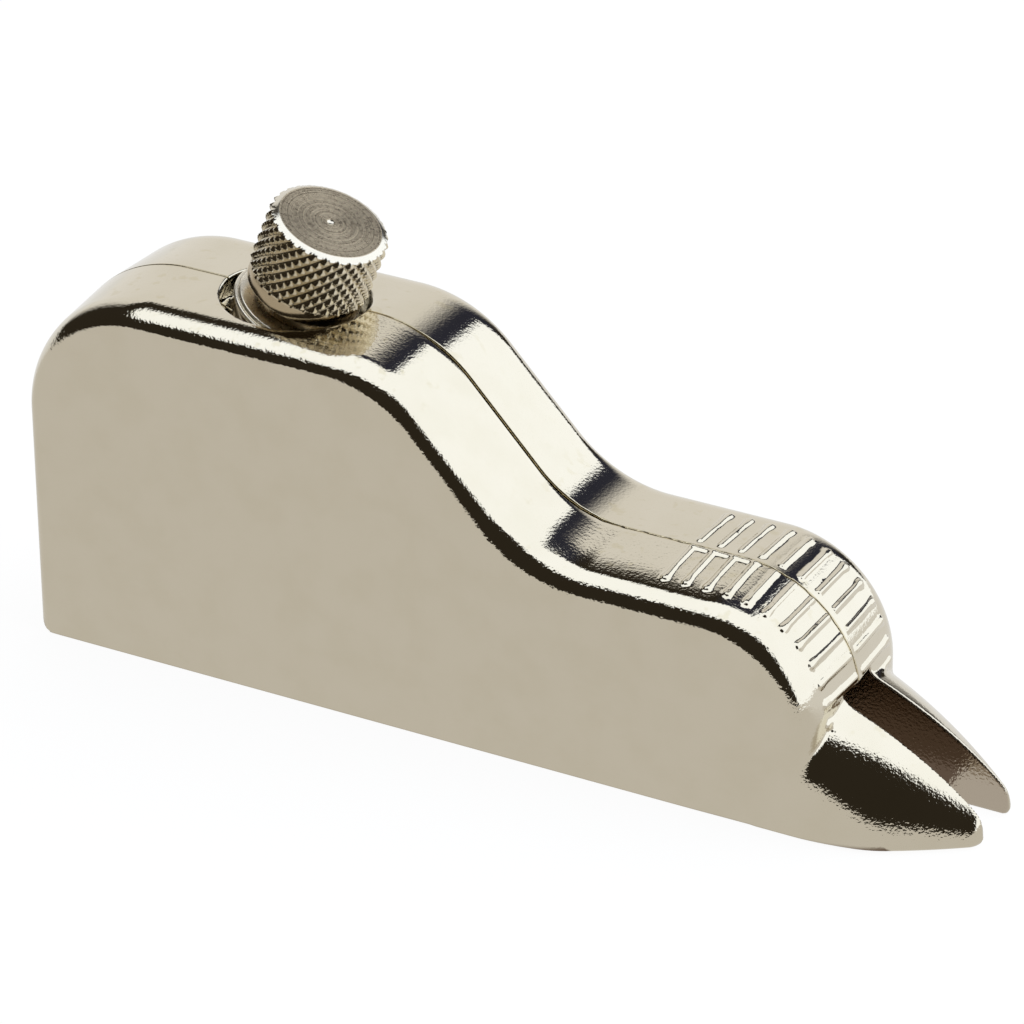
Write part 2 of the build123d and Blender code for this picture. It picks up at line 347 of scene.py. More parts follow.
body_outline = [
    straight((0, far_below), (0, rear_centre[1])),
    rounded(rear_centre, rear_radius, math.pi, quarter),
    straight((rear_radius, top_height), (brow_start, top_height)),
    rounded(brow_centre, brow_radius, quarter, quarter - slope_angle),
    straight(brow_end, dip_start),
    rounded(dip_centre, dip_radius, -quarter - slope_angle, -quarter, hollow=True),
    straight((dip_centre[0], rest_height), (front_centre[0], rest_height)),
    rounded(front_centre, front_radius, quarter, 0),
    straight((wall_front, front_centre[1]), (wall_front, far_below)),
]

# The bullet nose is turned about the sole line: a long arc from its root, tangent to a small tip
tip_centre = (length - tip_rounding, slot_half)
tip_start = (
    tip_centre[0] + tip_rounding * math.cos(tip_turn),
    tip_centre[1] + tip_rounding * math.sin(tip_turn),
)
root_offset = (wall_front - tip_start[0], nose_root_radius - tip_start[1])
root_toward = root_offset[0] * math.cos(tip_turn) + root_offset[1] * math.sin(tip_turn)
nose_arc = -(root_offset[0] ** 2 + root_offset[1] ** 2) / (2 * root_toward)
nose_centre = (tip_start[0] - nose_arc * math.cos(tip_turn), tip_start[1] - nose_arc * math.sin(tip_turn))
nose_outline = [
    rounded(nose_centre, nose_arc, nose_arc_end, tip_turn),
    rounded(tip_centre, tip_rounding, tip_turn, 0),
    straight((length, slot_half), (length, far_below)),
]


def both(a, b, radius):
    """What lies inside two fields, with the edge between them rounded."""
    corner = np.hypot(np.maximum(a + radius, 0), np.maximum(b + radius, 0))
    return np.minimum(np.maximum(a, b) + radius, 0) + corner - radius


def either(a, b, radius):
    """What lies inside one of two fields, with the corner between them filled."""
    return -both(-a, -b, radius)


def blended(a, b, reach):
    """What lies inside two fields that meet at a blunt angle, with a soft ridge between them."""
    near = np.maximum(reach - np.abs(a - b), 0) / reach
    return np.maximum(a, b) + near**2 * reach / 4


def rolled(above, out_of_side, over_top, down_side):
    """Edge between the top and the side that starts gently on the top and turns tighter down the side."""
    across = np.maximum(out_of_side + over_top, 0) / over_top
    down = np.maximum(above + down_side, 0) / down_side
    corner = (np.hypot(across, down) - 1) * down_side
    return np.where((across > 0) & (down > 0), corner, np.maximum(above, out_of_side))


def drafted_wall(x, s, z):
    """Outside of the casting without its side: the outline, drawn in by the draft away from the seam."""
    fall = math.tan(draft)
    tilt = math.atan2(sole_grinding, wall_front)
    below = -(z + half_width * fall + (wall_front - x) * math.tan(tilt)) * math.cos(tilt)
    return (np.maximum(nearest(x, z, body_outline), below) + s * fall) * math.cos(draft)


def along_rest(x, z):
    """Distance along the finger rest from the first rib."""
    angle = np.arctan2(z - front_centre[1], x - front_centre[0])
    on_arc = rib_lead + front_radius * (quarter - angle)
    on_front = rib_lead + front_radius * quarter + front_centre[1] - z
    return np.where(x < front_centre[0], x - rib_first, np.where(z > front_centre[1], on_arc, on_front))


def finger_ribs(x, s, z, above, span):
    """Raised bars across the rest, a little thicker at their outer ends."""
    run = along_rest(x, z)
    index = np.clip(np.round(run / rib_pitch), 0, rib_count - 1)
    low, high = span[0] + rib_width / 2, span[1] - rib_width / 2
    half = rib_width / 2 + rib_bulb * smooth(high - rib_bulb_run, high, s) - rib_bulb / 2
    plan = np.hypot(run - index * rib_pitch, s - np.clip(s, low, high)) - half
    return both(plan, above - rib_height, rib_rounding)


def rib_spine(x, s, z, above):
    """Narrow raised strip beside the seam that joins the first ribs."""
    half_run = spine_ribs * rib_pitch / 2
    beyond = np.maximum(np.abs(along_rest(x, z) - half_run) - half_run, 0)
    plan = np.hypot(beyond, s - spine_middle) - spine_half
    return both(plan, above - spine_height, spine_half)


def fork_slot(x, s, z):
    """Slot between the prongs, under a lintel as far as the front of the body."""
    under_or_ahead = np.minimum(z - lintel_height, wall_front - x)
    return np.maximum(np.maximum(s - slot_half, throat_rear - x), under_or_ahead)


def along_screw(x, z):
    """Distance ahead of the thumb screw's axis, and level along it."""
    ahead = (x - screw_at) * math.cos(lean) - (z - top_height) * math.sin(lean)
    level = (x - screw_at) * math.sin(lean) + (z - top_height) * math.cos(lean)
    return ahead, level


def screw_ways(x, s, z):
    """Shank hole, nut pocket and blade channel, all square to the leaning screw."""
    ahead, level = along_screw(x, z)
    shank = np.hypot(ahead, s) - shank_radius - hole_clearance
    shank = np.maximum(shank, np.maximum(level, bed_level - level))
    pocket = np.maximum(np.abs(ahead), s) - nut_half
    pocket = np.maximum(pocket, np.maximum(level - nut_top, nut_bottom - level))
    channel_top = bed_level + channel_height
    channel = np.maximum(np.maximum(s - channel_half, channel_tail - ahead), bed_level - level)
    channel = np.maximum(channel, level - channel_top)
    return np.minimum(np.minimum(shank, pocket), channel)


def screw_recess(x, s, z):
    """Recess around the thumb screw, a little longer towards the rear."""
    ahead, level = along_screw(x, z)
    from_middle = np.hypot(ahead - np.clip(ahead, -recess_back, 0), s)
    return np.maximum(from_middle - recess_radius, recess_floor - level)


def cross_holes(x, s, z, seats):
    """Holes for the dowels and body screws, with countersunk seats on the half that takes the heads."""
    holes = np.full(np.broadcast(x, s, z).shape, far_away)
    for place in dowel_places:
        from_axis = np.hypot(x - place[0], z - place[1])
        holes = np.minimum(holes, np.maximum(from_axis - dowel_hole, s - dowel_hole_depth))
    for place in screw_places:
        from_axis = np.hypot(x - place[0], z - place[1])
        if seats:
            cone = np.minimum(screw_seat, screw_seat + s - screw_seat_level)
            holes = np.minimum(holes, from_axis - np.maximum(screw_clear_hole, cone))
        else:
            holes = np.minimum(holes, np.maximum(from_axis - screw_hole, s - screw_hole_depth))
    return holes


def on_slope(x, z):
    """Share of the slope between the brow and the dip, where the seam is open."""
    return smooth(*slope_from, x) * smooth(*slope_to, x) * smooth(*slope_above, z)


def seam_face(x, s, z, side):
    """Face of a half at the seam: a hairline that wavers, and opens a little on the slope."""
    waves = sum(share * np.sin(x * pace + start) for share, pace, start in seam_waves)
    waver = seam_wave * waves * smooth(*waver_from, x)
    return seam_gap + on_slope(x, z) * seam_gap_slope + side * waver - s


def casting(side):
    """Field of one half, negative inside; side is -1 for the right half and 1 for the left."""
    span = rib_span_right if side < 0 else rib_span_left

    def field(x, s, z):
        above = drafted_wall(x, s, z)
        out_of_side = s - half_width
        body = either(above, finger_ribs(x, s, z, above, span), rib_foot)
        if side < 0:
            body = either(body, rib_spine(x, s, z, above), rib_foot)
        on_rest = smooth(*rest_from, x) * smooth(*rest_to, x)
        over_top = edge_over_top[side] + (edge_over_rest[side] - edge_over_top[side]) * on_rest
        body = body + rest_crown[side] * on_rest * np.maximum(s - rest_crown_start, 0) ** 2
        raised = 1 - smooth(*tight_below, z) * smooth(*tight_from, x)
        over_top = edge_at_sole + (over_top - edge_at_sole) * raised
        down_side = edge_at_sole + (edge_down_side[side] - edge_at_sole) * raised
        body = rolled(body, out_of_side, over_top, down_side)
        from_sole_line = np.hypot(s, z)
        nose = np.maximum(nearest(x, from_sole_line, nose_outline), from_sole_line - nose_root_radius)
        nose = np.maximum(nose, wall_front - front_radius / 2 - x)
        nose = blended(nose, out_of_side, cheek_blend)
        solid = np.maximum(either(body, nose, nose_root_blend), out_of_side)
        on_nose = smooth(*nose_from, x)
        solid = both(solid, -z, sole_edge + (nose_sole_edge - sole_edge) * on_nose)
        from_back = (x - s * math.tan(draft)) * math.cos(draft)
        at_heel = (from_back < heel_radius) & (z < heel_radius)
        heel = np.hypot(heel_radius - from_back, heel_radius - z) - heel_radius
        solid = np.maximum(solid, np.where(at_heel, heel, -heel_radius))
        solid = both(solid, -fork_slot(x, s, z), slot_edge)
        solid = both(solid, -screw_recess(x, s, z), recess_edge)
        solid = np.maximum(solid, -screw_ways(x, s, z))
        solid = both(solid, -cross_holes(x, s, z, side > 0), hole_edge)
        short = np.maximum(seam_fall_width[side] - s, 0)
        fall = seam_fall_slope[side] * short**2 / (short + seam_fall_blend)
        open_share = on_slope(x, z)
        solid = solid + fall * open_share
        rounding = seam_edge + (seam_edge_slope - seam_edge) * open_share
        return both(solid, seam_face(x, s, z, side), rounding)

    return field


def surface_net(field, levels):
    """Quads on the zero level of a field over a grid, one point in each cell that the surface crosses."""
    xs, ss, zs = levels
    values = field(xs[:, None, None], ss[None, :, None], zs[None, None, :])
    inside = values < 0
    cells = tuple(n - 1 for n in values.shape)
    corners = [(i, j, k) for i in (0, 1) for j in (0, 1) for k in (0, 1)]

    def at_corner(array, corner):
        return array[tuple(slice(c, c + n) for c, n in zip(corner, cells))]

    filled = sum(at_corner(inside, corner).astype(np.int8) for corner in corners)
    crossed = (filled > 0) & (filled < 8)
    where = np.argwhere(crossed)
    number = np.full(cells, -1)
    number[crossed] = np.arange(len(where))
    total = np.zeros((len(where), 3))
    count = np.zeros(len(where))
    for first in corners:
        for axis in range(3):
            if first[axis] == 1:
                continue
            step = np.eye(3, dtype=int)[axis]
            a = where + first
            b = a + step
            va, vb = values[tuple(a.T)], values[tuple(b.T)]
            cut = (va < 0) != (vb < 0)
            share = np.where(cut, va / np.where(cut, va - vb, 1), 0)[:, None]
            pa = np.stack([level[a[:, i]] for i, level in enumerate(levels)], axis=1)
            pb = np.stack([level[b[:, i]] for i, level in enumerate(levels)], axis=1)
            total += np.where(cut[:, None], pa + (pb - pa) * share, 0)
            count += cut
    points = total / count[:, None]
    quads = []
    for axis in range(3):
        u, v = (axis + 1) % 3, (axis + 2) % 3
        low = np.moveaxis(inside, axis, 0)[:-1]
        high = np.moveaxis(inside, axis, 0)[1:]
        edges = np.argwhere(np.moveaxis(low != high, 0, axis))
        keep = (edges[:, u] > 0) & (edges[:, u] < cells[u]) & (edges[:, v] > 0) & (edges[:, v] < cells[v])
        edges = edges[keep]
        outward = inside[tuple(edges.T)]
        ring = []
        for du, dv in ((-1, -1), (0, -1), (0, 0), (-1, 0)):
            cell = edges.copy()
            cell[:, u] += du
            cell[:, v] += dv
            ring.append(number[tuple(cell.T)])
        ring = np.stack(ring, axis=1)
        quads.append(np.where(outward[:, None], ring, ring[:, ::-1]))
    return points, np.concatenate(quads)


def slope_of(field, points, reach=0.01):
    """Gradient of a field at points."""
    slopes = np.zeros_like(points)
    for axis in range(3):
        ahead = points.copy()
        behind = points.copy()
        ahead[:, axis] += reach
        behind[:, axis] -= reach
        slopes[:, axis] = (field(*ahead.T) - field(*behind.T)) / (2 * reach)
    return slopes


def pulled_onto(field, points, rounds=3, most=0.12, least_square=0.2):
    """Points moved onto the zero level of a field."""
    for _ in range(rounds):
        slopes = slope_of(field, points)
        square = np.maximum((slopes**2).sum(axis=1), least_square)
        move = -field(*points.T) / square
        points = points + slopes * np.clip(move, -most, most)[:, None]
    return points


def mesh_object(name, points, faces, shade_smooth=True):
    """New object from points and faces."""
    mesh = bpy.data.meshes.new(name)
    mesh.from_pydata(points.tolist(), [], [list(face) for face in faces])
    mesh.polygons.foreach_set("use_smooth", [shade_smooth] * len(mesh.polygons))
    mesh.update()
    piece = bpy.data.objects.new(name, mesh)
    bpy.context.scene.collection.objects.link(piece)
    return piece


def body_half(name, side, node):
    """One casting half as a smooth closed mesh, with the field's own normals."""
    field = casting(side)
    fine = np.arange(seam_start, seam_zone, seam_step)
    coarse = np.arange(seam_zone + seam_zone_gap, half_width + grid_margin, grid_step)
    levels = (
        np.arange(-grid_margin, length + grid_margin, grid_step),
        np.concatenate([fine, coarse]),
        np.arange(-grid_margin, top_height + grid_margin, grid_step),
    )
    points, quads = surface_net(field, levels)
    points = pulled_onto(field, points)
    half = mesh_object(name, points, quads)
    thin = half.modifiers.new("thin", "DECIMATE")
    thin.ratio = kept_share
    graph = bpy.context.evaluated_depsgraph_get()
    mesh = bpy.data.meshes.new_from_object(half.evaluated_get(graph))
    half.modifiers.clear()
    half.data = mesh
    points = np.empty(len(mesh.vertices) * 3)
    mesh.vertices.foreach_get("co", points)
    points = pulled_onto(field, points.reshape(-1, 3))
    normals = slope_of(field, points)
    normals /= np.maximum(np.linalg.norm(normals, axis=1), 1e-6)[:, None]
    placed = (points + (to_middle, 0, 0)) * (mm, side * mm, mm)
    mesh.vertices.foreach_set("co", placed.ravel())
    if side < 0:
        mesh.flip_normals()
    mesh.polygons.foreach_set("use_smooth", [True] * len(mesh.polygons))
    mesh.update()
    mesh.normals_split_custom_set_from_vertices((normals * (1, side, 1)).tolist())
    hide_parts(node)
    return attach(half, "body")


# Screw frame: local Z along the thumb screw, the origin where its axis meets the plane of the top
screw_up = Vector((math.sin(lean), 0, math.cos(lean)))
screw_ahead = Vector((math.cos(lean), 0, -math.sin(lean)))
screw_foot = Vector((screw_at + to_middle, 0, top_height)) * mm
screw_axes = Matrix((screw_ahead, (0, 1, 0), screw_up)).transposed().to_4x4()
screw_frame = Matrix.Translation(screw_foot) @ screw_axes


def turned(rows, count):
    """Mesh turned about local Z from rows of (radius, level), where a radius may vary around the turn."""
    turn = np.linspace(0, 2 * math.pi, count, endpoint=False)
    points = []
    for radius, level in rows:
        ring = np.broadcast_to(radius, count)
        points.append(np.stack([ring * np.cos(turn), ring * np.sin(turn), np.full(count, level)], axis=1))
    faces = []
    for row in range(len(rows) - 1):
        for i in range(count):
            j = (i + 1) % count
            faces.append((row * count + i, row * count + j, (row + 1) * count + j, (row + 1) * count + i))
    return np.concatenate(points) * mm, faces


def capped(points, faces, count):
    """Turned mesh with its first and last rings closed by a point."""
    last = len(points)
    rows = last // count
    ends = [points[:count].mean(axis=0), points[-count:].mean(axis=0)]
    for i in range(count):
        j = (i + 1) % count
        faces.append((j, i, last))
        faces.append(((rows - 1) * count + i, (rows - 1) * count + j, last + 1))
    return np.concatenate([points, ends]), faces


def corner_rows(radius, level, turn_radius, first, last, steps=4):
    """Rows around a rounded corner, the angles in degrees from outward to up."""
    rows = []
    for angle in np.radians(np.linspace(first, last, steps)):
        rows.append((radius + turn_radius * math.cos(angle), level + turn_radius * math.sin(angle)))
    return rows


def root_rows(radius, level, root):
    """Rows of a small inner corner that reaches out and down by the two sizes of a root."""
    return [(radius, level - root[1]), (radius + root[0], level)]


def knurl(level, turn, spacing):
    """Height of the diamond knurl at a level, between 0 in the grooves and 1 on the points."""
    heights = []
    for direction in (1, -1):
        phase = (turn * knurl_starts / (2 * math.pi) + direction * level / spacing) % 1
        heights.append(1 - np.abs(2 * phase - 1))
    shallow = 1 - knurl_cross_depth * (1 - heights[0])
    return np.minimum(np.minimum(heights[1], shallow) * knurl_flatness, 1)


def thumb_screw():
    """Knurled thumb screw with a chamfered, turned head, a smooth band, collar, shank and tip pin."""
    count = knurl_starts * knurl_facets
    turn = np.linspace(0, 2 * math.pi, count, endpoint=False)
    spacing = 2 * math.pi * head_radius / knurl_starts
    step = spacing / knurl_facets
    band_end = knurl_end - band_length
    pin_end = pad_top - tip_pin_length
    pin_flat = tip_pin_radius - tip_pin_edge
    shank_flat = shank_radius - shank_edge
    collar_flat = collar_radius - collar_edge
    band_flat = band_radius - band_edge
    neck = band_radius - band_bevel
    rows = [(tip_pin_centre, pin_end), (pin_flat, pin_end)]
    rows += corner_rows(pin_flat, pin_end + tip_pin_edge, tip_pin_edge, -60, 0, 3)
    rows += root_rows(tip_pin_radius, pad_top, shank_root)
    rows += [(shank_flat, pad_top)]
    rows += corner_rows(shank_flat, pad_top + shank_edge, shank_edge, -60, 0, 3)
    rows += root_rows(shank_radius, washer_top, shank_root)
    rows += [(collar_flat, washer_top)]
    rows += corner_rows(collar_flat, washer_top + collar_edge, collar_edge, -60, 0, 3)
    rows += root_rows(collar_radius, band_end, collar_root)
    rows += [(band_flat, band_end)]
    rows += corner_rows(band_flat, band_end + band_edge, band_edge, -68, 0, 4)
    rows += [(band_radius, knurl_end - band_bevel_run[0]), (neck, knurl_end - band_bevel_run[1])]
    level = knurl_end
    groove = head_radius - knurl_depth
    while level < head_top - 2 * rim_edge:
        raised = groove + knurl_depth * knurl(level, turn, spacing)
        lower = neck + (level - knurl_end) * knurl_run_in
        cone = head_face_radius + (head_top - level) * (head_radius - head_face_radius) / head_chamfer
        rows.append((np.minimum(np.minimum(raised, lower), cone), level))
        level += step
    rows += [(head_face_radius + rim_edge, head_top - rim_edge)]
    for radius in np.arange(head_face_radius - ring_margin, ring_end, -ring_step):
        ridge = ring_height * (1 + math.sin(radius * ring_pace))
        rows.append((radius, head_top - ridge))
    rows += [(radius, head_top - depth) for radius, depth in dimple]
    points, faces = turned(rows, count)
    points, faces = capped(points, faces, count)
    piece = mesh_object("thumb_screw_knurled", points, faces)
    piece.data.set_sharp_from_angle(angle=screw_sharp)
    piece.matrix_world = screw_frame
    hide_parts("thumb_screw")
    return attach(piece, "screw")


def flat_washer():
    """Washer with rounded edges and a step turned around its top."""
    hole = shank_radius + hole_clearance
    low = washer_top - washer_thickness
    edge = washer_edge
    step_level = washer_top - washer_step
    rows = [(hole, washer_top - edge), (hole, low + washer_bevel), (hole + washer_bevel, low)]
    rows += [(washer_radius - edge, low)]
    rows += corner_rows(washer_radius - edge, low + edge, edge, -60, 0)
    rows += corner_rows(washer_radius - edge, step_level - edge, edge, 0, 85)
    rows += [(washer_step_radius + washer_step_foot, step_level)]
    rows += [(washer_step_radius, washer_top - washer_step_wall)]
    rows += corner_rows(washer_step_radius - edge, washer_top - edge, edge, 0, 90)
    rows += [(hole + edge, washer_top), (hole + washer_hole_bevel, washer_top - washer_hole_bevel)]
    points, faces = turned(rows, washer_facets)
    last = (len(rows) - 1) * washer_facets
    for i in range(washer_facets):
        j = (i + 1) % washer_facets
        faces.append((last + i, last + j, j, i))
    piece = mesh_object("flat_washer_rounded", points, faces)
    piece.data.set_sharp_from_angle(angle=washer_sharp)
    piece.matrix_world = screw_frame
    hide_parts("flat_washer")
    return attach(piece, "feed")


def clamp_spring():
    """Compression spring of round wire with cut ends; its top follows the washer."""
    around = spring_facets
    low = recess_floor + spring_gap + spring_wire / 2
    high = washer_top - washer_thickness - spring_gap - spring_wire / 2
    angles = np.linspace(0, spring_turns * 2 * math.pi, int(spring_turns * spring_steps) + 1)
    rise = (high - low) / angles[-1]
    coil_x = spring_radius * np.cos(angles)
    coil_y = spring_radius * np.sin(angles)
    centres = np.stack([coil_x, coil_y, low + rise * angles], axis=1)
    along = np.stack([-coil_y, coil_x, np.full_like(angles, rise)], axis=1)
    along /= np.linalg.norm(along, axis=1)[:, None]
    outward = np.stack([np.cos(angles), np.sin(angles), np.zeros_like(angles)], axis=1)
    upward = np.cross(along, outward)
    points = []
    shrink = np.ones(len(angles))
    shrink[[0, -1]] = spring_cut_end
    for i in range(len(angles)):
        for k in range(around):
            turn = 2 * math.pi * k / around
            spoke = math.cos(turn) * outward[i] + math.sin(turn) * upward[i]
            points.append(centres[i] + spoke * spring_wire / 2 * shrink[i])
    faces = []
    for i in range(len(angles) - 1):
        for k in range(around):
            m = (k + 1) % around
            faces.append((i * around + k, i * around + m, (i + 1) * around + m, (i + 1) * around + k))
    points, faces = capped(np.array(points) * mm, faces, around)
    piece = mesh_object("clamp_spring_wire", points, faces)
    piece.matrix_world = screw_frame
    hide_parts("clamp_spring")
    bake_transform(piece)
    return piece


class Graph:
    """Short calls for building a node tree."""

    def __init__(self, tree):
        self.tree = tree
        tree.nodes.clear()

    def node(self, kind, inputs=None, **settings):
        """New node with its settings, and its inputs set to values or linked to sockets."""
        made = self.tree.nodes.new(kind)
        for name, value in settings.items():
            setattr(made, name, value)
        for name, value in (inputs or {}).items():
            self.put(made.inputs[name], value)
        return made

    def put(self, socket, value):
        """Link or set one input."""
        if isinstance(value, bpy.types.NodeSocket):
            self.tree.links.new(value, socket)
        else:
            socket.default_value = value

    def math(self, operation, a, b=0.0):
        """Result of one operation on two values or sockets."""
        return self.node("ShaderNodeMath", {0: a, 1: b}, operation=operation).outputs[0]

    def ramp(self, value, low, high):
        """Soft step of a socket from 0 at low to 1 at high."""
        inputs = {"Value": value, "From Min": low, "From Max": high}
        if low > high:
            inputs = {"Value": value, "From Min": high, "From Max": low, "To Min": 1.0, "To Max": 0.0}
        made = self.node("ShaderNodeMapRange", inputs, interpolation_type="SMOOTHSTEP")
        return made.outputs["Result"]

    def noise(self, place, size, detail=2.0, roughness=0.5):
        """Noise with features of a size in millimetres."""
        inputs = {"Vector": place, "Scale": 1 / (size * mm), "Detail": detail, "Roughness": roughness}
        return self.node("ShaderNodeTexNoise", inputs).outputs["Fac"]

    def bump(self, height, reach, normal=None):
        """Bump of a height socket over a reach in millimetres, on top of another bump."""
        inputs = {"Height": height, "Distance": reach * mm}
        if normal:
            inputs["Normal"] = normal
        return self.node("ShaderNodeBump", inputs).outputs["Normal"]

    def mix(self, share, first, second):
        """Mix of two colours."""
        made = self.node("ShaderNodeMix", data_type="RGBA")
        self.put(made.inputs["Factor"], share)
        self.put(made.inputs[6], first)
        self.put(made.inputs[7], second)
        return made.outputs[2]

    def split(self, vector):
        """The three parts of a vector socket."""
        return self.node("ShaderNodeSeparateXYZ", {"Vector": vector}).outputs

    def times(self, *values):
        """Product of several values or sockets."""
        product = values[0]
        for value in values[1:]:
            product = self.math("MULTIPLY", product, value)
        return product


def rgb(red, green, blue):
    """Colour with full alpha."""
    return (red, green, blue, 1.0)


def new_material(name):
    """Material with an empty tree, its shader and its output."""
    material = bpy.data.materials.new(name)
    material.use_nodes = True
    graph = Graph(material.node_tree)
    shader = graph.node("ShaderNodeBsdfPrincipled")
    out = graph.node("ShaderNodeOutputMaterial")
    graph.put(out.inputs["Surface"], shader.outputs["BSDF"])
    return material, graph, shader


def metal(name, colour, dull, rough, peel, fine):
    """Metal with a mottled colour and uneven gloss.

    The peel is (size, height, gain on the sides) and the fine grain (size, height), in millimetres.
    """
    material, graph, shader = new_material(name)
    place = graph.node("ShaderNodeTexCoord").outputs["Object"]
    mottle = graph.ramp(graph.noise(place, mottle_size, detail=4.0), *mottle_levels)
    graph.put(shader.inputs["Base Color"], graph.mix(mottle, colour, dull))
    specks = graph.noise(place, fine[0] * speck_scale, detail=3.0)
    least, most = rough * gloss_range[0], rough * gloss_range[1]
    gloss = graph.node("ShaderNodeMapRange", {"Value": specks, "To Min": least, "To Max": most})
    graph.put(shader.inputs["Roughness"], gloss.outputs["Result"])
    shader.inputs["Metallic"].default_value = 1.0
    facing = graph.split(graph.node("ShaderNodeNewGeometry").outputs["Normal"])
    sideways = graph.ramp(graph.math("ABSOLUTE", facing["Y"]), *sideways_levels)
    gain = graph.math("ADD", 1.0, graph.times(sideways, peel[2]))
    grain = graph.times(graph.noise(place, peel[0], detail=1.5), gain)
    bump = graph.bump(grain, peel[1])
    bump = graph.bump(graph.noise(place, fine[0]), fine[1], bump)
    graph.put(shader.inputs["Normal"], bump)
    return material, graph, shader, place


def casting_nickel():
    """Nickel on an uneven die casting: stained on top, yellow at the seam, and a darker brown in the fork as
    painted shade.
    """
    plating, thin = rgb(0.66, 0.61, 0.50), rgb(0.64, 0.59, 0.475)
    # The last colour here is painted shade for the inside of the fork.
    stain, seam_yellow, fork_painted_shade = rgb(0.58, 0.52, 0.37), rgb(0.53, 0.46, 0.31), rgb(0.50, 0.44, 0.36)
    material, graph, shader, place = metal(
        "casting_nickel", plating, thin, rough=0.055, peel=(0.32, 0.013, 1.9), fine=(0.15, 0.003)
    )
    parts = graph.split(place)
    from_seam = graph.math("ABSOLUTE", parts["Y"])
    inside = graph.ramp(from_seam, *[(slot_half + fade) * mm for fade in fork_side_fade])
    throat = throat_rear + to_middle
    ahead = graph.ramp(parts["X"], (throat - fork_rear_fade) * mm, throat * mm)
    under = graph.ramp(parts["Z"], *[(lintel_height + fade) * mm for fade in fork_top_fade])
    in_fork = graph.times(inside, ahead, under)
    normal = graph.node("ShaderNodeNewGeometry").outputs["Normal"]
    upward = graph.ramp(graph.split(normal)["Z"], *upward_levels)
    stains = graph.ramp(graph.noise(place, stain_size), *stain_levels)
    plated = shader.inputs["Base Color"].links[0].from_socket
    plated = graph.mix(graph.times(stains, upward, stain_share), plated, stain)
    at_seam = graph.ramp(from_seam, *[reach * mm for reach in seam_tint_reach])
    plated = graph.mix(at_seam, plated, seam_yellow)
    # Painted shade: the inside of the fork gets the darker brown base colour, besides its extra roughness.
    graph.put(shader.inputs["Base Color"], graph.mix(in_fork, plated, fork_painted_shade))
    gloss = shader.inputs["Roughness"].links[0].from_socket
    duller = graph.times(in_fork, fork_roughness)
    graph.put(shader.inputs["Roughness"], graph.math("ADD", gloss, duller))
    return material


def turned_nickel():
    """Nickel on turned and knurled steel, yellowish; the tool left rings on the end face, and the band below
    the knurl gets a painted brown reflection.
    """
    bright, worn = rgb(0.67, 0.60, 0.46), rgb(0.55, 0.48, 0.34)
    band_painted_reflection, rim_bright = rgb(0.44, 0.36, 0.24), rgb(0.69, 0.65, 0.56)
    face_dark, face_bright = rgb(0.25, 0.205, 0.145), rgb(0.66, 0.57, 0.42)
    material, graph, shader, place = metal(
        "turned_nickel", bright, worn, rough=0.14, peel=(0.7, 0.006, 0), fine=(0.2, 0.003)
    )
    parts = graph.split(place)
    flat = graph.node("ShaderNodeCombineXYZ", {"X": parts["X"], "Y": parts["Y"]}).outputs[0]
    radius = graph.node("ShaderNodeVectorMath", {0: flat}, operation="LENGTH").outputs["Value"]
    at_top = graph.ramp(parts["Z"], *[(head_top - depth) * mm for depth in face_depth])
    in_rim = graph.ramp(radius, head_face_radius * mm, (head_face_radius - face_fade) * mm)
    on_face = graph.times(at_top, in_rim)
    across = graph.node("ShaderNodeCombineXYZ", {"X": radius}).outputs[0]
    rings = graph.noise(across, ring_mark_size, detail=3.0, roughness=0.7)
    scratches = graph.noise(place, scratch_size, detail=3.0)
    grain = shader.inputs["Normal"].links[0].from_socket
    graph.put(shader.inputs["Normal"], graph.bump(graph.times(rings, on_face), ring_mark_relief, grain))
    gloss = shader.inputs["Roughness"].links[0].from_socket
    scratched = graph.math("ADD", graph.times(scratches, scratch_roughness), face_roughness)
    duller = graph.times(on_face, scratched)
    graph.put(shader.inputs["Roughness"], graph.math("ADD", gloss, duller))
    plated = shader.inputs["Base Color"].links[0].from_socket
    # Painted reflection: the smooth band below the knurl is coloured brown, as if it mirrored the beige top
    # around it.
    on_band = graph.ramp(parts["Z"], (knurl_end + band_fade[0]) * mm, (knurl_end - band_fade[1]) * mm)
    plated = graph.mix(on_band, plated, band_painted_reflection)
    on_rim = graph.ramp(parts["Z"], (head_top - head_chamfer) * mm, (head_top - rim_depth) * mm)
    plated = graph.mix(on_rim, plated, rim_bright)
    marks = graph.math("ADD", rings, graph.times(scratches, scratch_share))
    turned_face = graph.mix(graph.ramp(marks, *mark_levels), face_dark, face_bright)
    graph.put(shader.inputs["Base Color"], graph.mix(on_face, plated, turned_face))
    return material


def washer_plating():
    """Bright plating on a turned washer."""
    bright, worn = rgb(0.86, 0.80, 0.67), rgb(0.76, 0.70, 0.57)
    return metal("washer_plating", bright, worn, rough=0.26, peel=(0.8, 0.008, 0), fine=(0.2, 0.003))[0]


def spring_steel():
    """Drawn wire, browner and a little rough."""
    bright, brown = rgb(0.62, 0.51, 0.34), rgb(0.45, 0.36, 0.23)
    return metal("spring_steel", bright, brown, rough=0.32, peel=(0.5, 0.006, 0), fine=(0.12, 0.004))[0]


def plain_steel():
    """Bare turned steel of the fasteners and the pad."""
    bright, worn = rgb(0.56, 0.54, 0.50), rgb(0.42, 0.40, 0.36)
    return metal("plain_steel", bright, worn, rough=0.27, peel=(0.6, 0.008, 0), fine=(0.15, 0.004))[0]


def blade_steel():
    """Ground tool steel."""
    ground, worn = rgb(0.55, 0.55, 0.55), rgb(0.45, 0.45, 0.46)
    return metal("blade_steel", ground, worn, rough=0.22, peel=(0.5, 0.004, 0), fine=(0.1, 0.004))[0]


def dress(piece, material):
    """Give a piece one material."""
    piece.data.materials.clear()
    piece.data.materials.append(material)


def redress(node, material):
    """Give a CAD node a better material."""
    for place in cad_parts[node].material_slots:
        place.material = material


